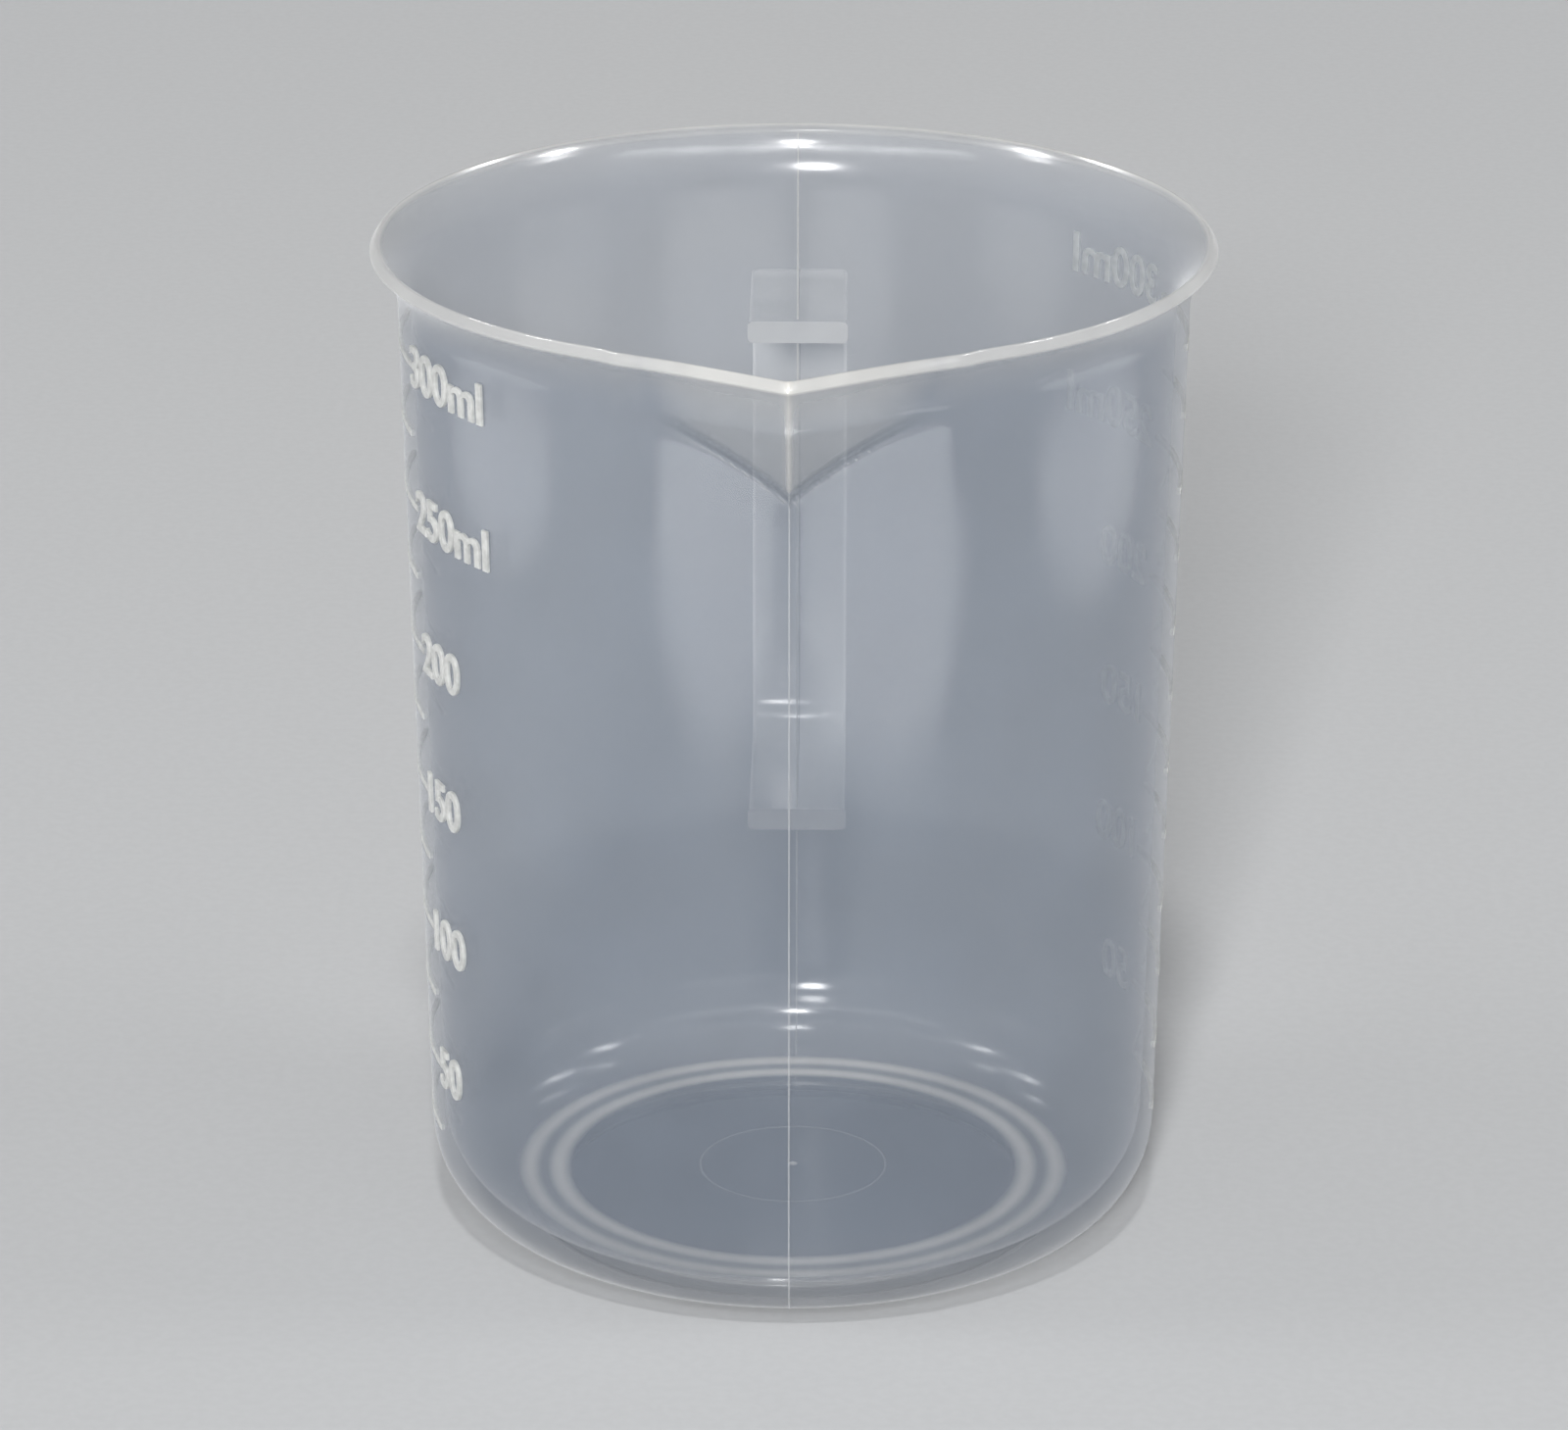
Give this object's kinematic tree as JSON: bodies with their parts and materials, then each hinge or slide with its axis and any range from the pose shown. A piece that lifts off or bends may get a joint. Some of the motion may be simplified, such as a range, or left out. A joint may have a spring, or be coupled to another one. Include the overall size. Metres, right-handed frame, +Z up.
{
  "type": "graduated beaker",
  "caption": "Low translucent plastic beaker with a flared rim, a V-shaped pouring spout, a raised scale on each side and a strap handle behind.",
  "frame": {"origin": "on the surface the beaker stands on, under the middle of its bounding box; the vessel's own axis stands 7.2 mm from it, towards the spout", "axes": "+Z up along the vessel's axis; the spout points along -Y and the handle along +Y; +X is to the right, seen from the spout"},
  "size_m": [0.078, 0.1042, 0.0956],
  "materials": {
    "body_plastic": "satin, translucent milky white natural polypropylene",
    "mark_plastic": "the same plastic, raised and finely matt, so that it reads whiter"
  },
  "bodies": {
    "root": {"vessel": "body_plastic", "handle": "body_plastic", "left_mark_025ml": "mark_plastic", "left_mark_050ml": "mark_plastic", "left_mark_075ml": "mark_plastic", "left_mark_100ml": "mark_plastic", "left_mark_125ml": "mark_plastic", "left_mark_150ml": "mark_plastic", "left_mark_175ml": "mark_plastic", "left_mark_200ml": "mark_plastic", "left_mark_225ml": "mark_plastic", "left_mark_250ml": "mark_plastic", "left_mark_275ml": "mark_plastic", "left_mark_300ml": "mark_plastic", "right_mark_025ml": "mark_plastic", "right_mark_050ml": "mark_plastic", "right_mark_075ml": "mark_plastic", "right_mark_100ml": "mark_plastic", "right_mark_125ml": "mark_plastic", "right_mark_150ml": "mark_plastic", "right_mark_175ml": "mark_plastic", "right_mark_200ml": "mark_plastic", "right_mark_225ml": "mark_plastic", "right_mark_250ml": "mark_plastic", "right_mark_275ml": "mark_plastic", "right_mark_300ml": "mark_plastic"}
  },
  "joints": []
}
